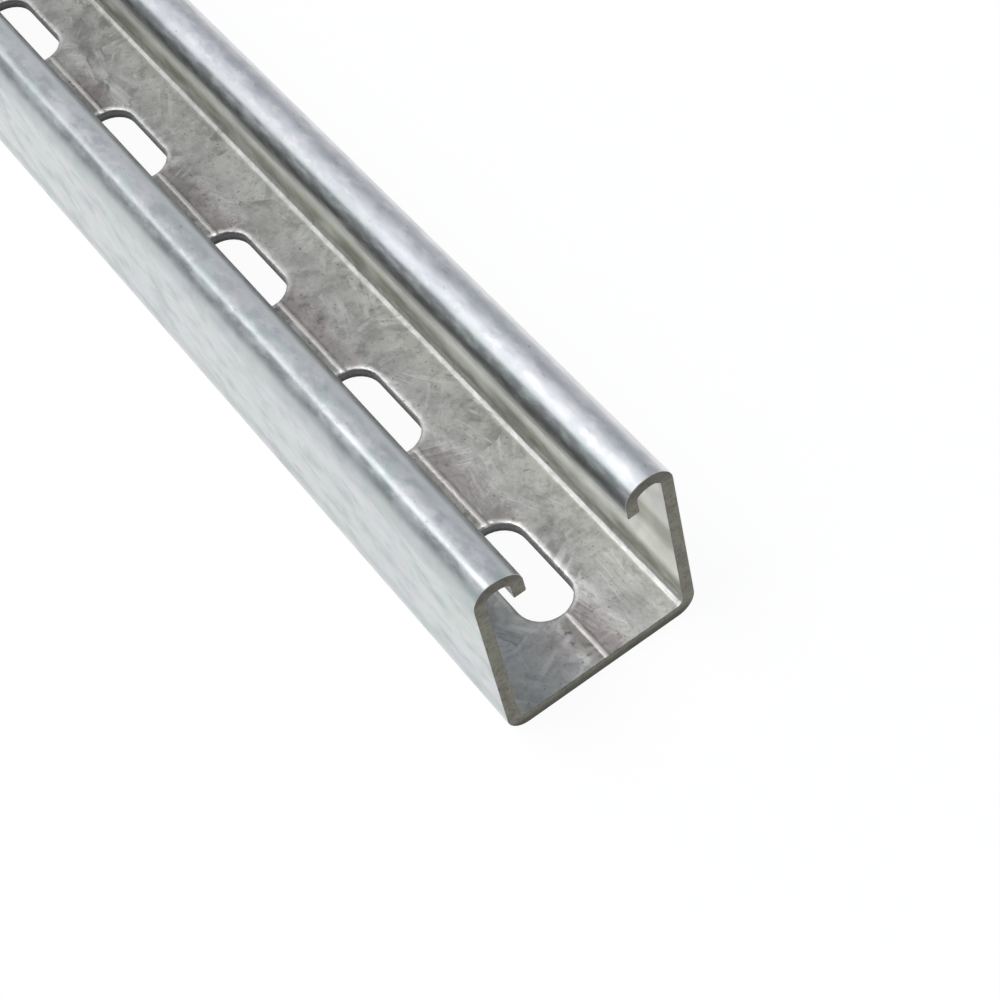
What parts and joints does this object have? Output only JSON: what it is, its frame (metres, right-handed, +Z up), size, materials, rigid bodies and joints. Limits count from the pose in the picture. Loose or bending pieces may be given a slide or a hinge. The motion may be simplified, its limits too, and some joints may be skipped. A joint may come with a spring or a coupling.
{
  "type": "slotted strut channel",
  "caption": "Cold-rolled steel channel with in-turned lips and a row of slots along its web, for bolting and clamping supports.",
  "frame": {"origin": "under the middle of the web, halfway along the stock, on the surface that the web lies on", "axes": "+X along the stock towards the end whose first slot is centred 26 mm in, +Y across the stock, +Z up out of the mouth"},
  "size_m": [1, 0.041, 0.041],
  "materials": {
    "galvanised_steel": "hot-dip galvanised, dull spangle, with bare grey-brown steel on the sawn ends"
  },
  "bodies": {
    "root": {"channel": "galvanised_steel"}
  },
  "joints": []
}
